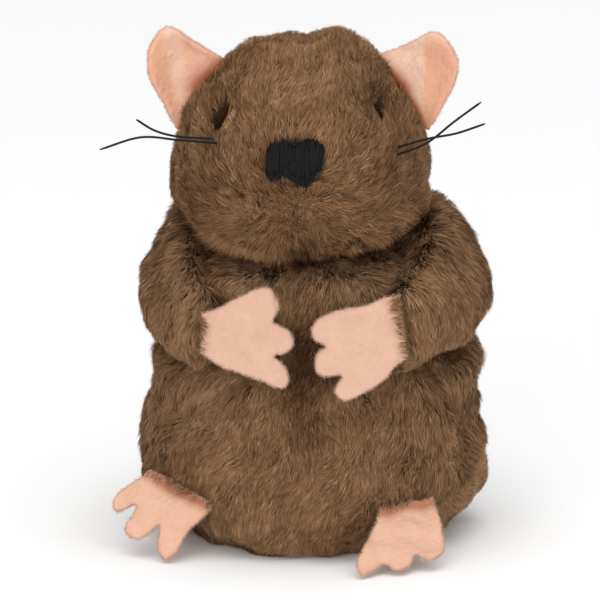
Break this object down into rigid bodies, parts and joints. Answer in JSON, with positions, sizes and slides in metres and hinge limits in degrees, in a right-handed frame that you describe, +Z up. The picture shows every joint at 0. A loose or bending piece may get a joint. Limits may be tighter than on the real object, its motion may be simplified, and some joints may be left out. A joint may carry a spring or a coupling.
{
  "type": "plush mole cat toy",
  "caption": "Small sitting plush animal cat toy with pile-fabric body, felt ears, paws and feet, stitched nose and stiff thread whiskers; soft limbs flex at their seams.",
  "frame": {"origin": "centre of the flat base that the toy sits on", "axes": "+Z up, the face and belly look along -Y, +X is the viewer's right"},
  "size_m": [0.0856, 0.0805, 0.1148],
  "materials": {
    "pile_fabric": "short brown combed pile, soft sheen",
    "pink_felt": "pale pink-orange matt felt",
    "black_thread": "black satin thread",
    "sewing_thread": "dark brown thread",
    "stuffing": "white polyester fibre",
    "pouch_cloth": "plain unbleached cotton"
  },
  "bodies": {
    "torso": {"belly_panel": "pile_fabric", "back_panel": "pile_fabric", "base_panel": "pile_fabric", "body_stuffing": "stuffing", "catnip_pouch": "pouch_cloth", "neck_seam_thread": "sewing_thread", "closing_stitches": "sewing_thread"},
    "neck": {"neck_stuffing": "stuffing"},
    "head": {"face_panel": "pile_fabric", "head_back_panel": "pile_fabric", "head_stuffing": "stuffing", "nose_embroidery": "black_thread", "left_eye_stitch": "black_thread", "right_eye_stitch": "black_thread", "left_upper_whisker": "black_thread", "left_lower_whisker": "black_thread", "right_upper_whisker": "black_thread", "right_lower_whisker": "black_thread"},
    "left_ear": {"left_ear": "pink_felt"},
    "right_ear": {"right_ear": "pink_felt"},
    "left_arm": {"left_arm_outer_panel": "pile_fabric", "left_arm_inner_panel": "pile_fabric", "left_arm_stuffing": "stuffing"},
    "right_arm": {"right_arm_outer_panel": "pile_fabric", "right_arm_inner_panel": "pile_fabric", "right_arm_stuffing": "stuffing"},
    "left_paw": {"left_paw": "pink_felt"},
    "right_paw": {"right_paw": "pink_felt"},
    "left_foot": {"left_foot": "pink_felt"},
    "right_foot": {"right_foot": "pink_felt"}
  },
  "joints": [
    {"name": "head_turn", "type": "hinge", "parent": "torso", "child": "neck", "pos_m": [0, -0.002, 0.066], "axis": [0, 0, 1], "range_deg": [-20, 20], "stiffness_Nm_per_rad": 0.05},
    {"name": "head_nod", "type": "hinge", "parent": "neck", "child": "head", "pos_m": [0, -0.002, 0.066], "axis": [1, 0, 0], "range_deg": [-8, 8], "stiffness_Nm_per_rad": 0.08},
    {"name": "left_ear_flex", "type": "hinge", "parent": "head", "child": "left_ear", "pos_m": [-0.0265, -0.004, 0.0997], "axis": [0.53, 0, 0.848], "range_deg": [-30, 35], "stiffness_Nm_per_rad": 0.004},
    {"name": "right_ear_flex", "type": "hinge", "parent": "head", "child": "right_ear", "pos_m": [0.0215, -0.004, 0.1004], "axis": [0.5698, 0, -0.8218], "range_deg": [-30, 35], "stiffness_Nm_per_rad": 0.004},
    {"name": "left_arm_swing", "type": "hinge", "parent": "torso", "child": "left_arm", "pos_m": [-0.0272, 0.003, 0.0564], "axis": [0, 0, -1], "range_deg": [0, 50], "stiffness_Nm_per_rad": 0.02},
    {"name": "right_arm_swing", "type": "hinge", "parent": "torso", "child": "right_arm", "pos_m": [0.0278, 0.003, 0.0576], "axis": [0, 0, 1], "range_deg": [0, 50], "stiffness_Nm_per_rad": 0.02},
    {"name": "left_paw_flex", "type": "hinge", "parent": "left_arm", "child": "left_paw", "pos_m": [-0.0214, -0.032, 0.0513], "axis": [0, 0, -1], "range_deg": [0, 50], "stiffness_Nm_per_rad": 0.003},
    {"name": "right_paw_flex", "type": "hinge", "parent": "right_arm", "child": "right_paw", "pos_m": [0.0182, -0.0326, 0.0522], "axis": [0, 0, 1], "range_deg": [0, 50], "stiffness_Nm_per_rad": 0.003},
    {"name": "left_foot_flex", "type": "hinge", "parent": "torso", "child": "left_foot", "pos_m": [-0.0304, -0.024, 0.0136], "axis": [-0.7692, 0.5332, 0.3521], "range_deg": [0, 35], "stiffness_Nm_per_rad": 0.004},
    {"name": "right_foot_flex", "type": "hinge", "parent": "torso", "child": "right_foot", "pos_m": [0.0209, -0.031, 0.011], "axis": [-0.9488, -0.3159, 0], "range_deg": [0, 35], "stiffness_Nm_per_rad": 0.004}
  ]
}
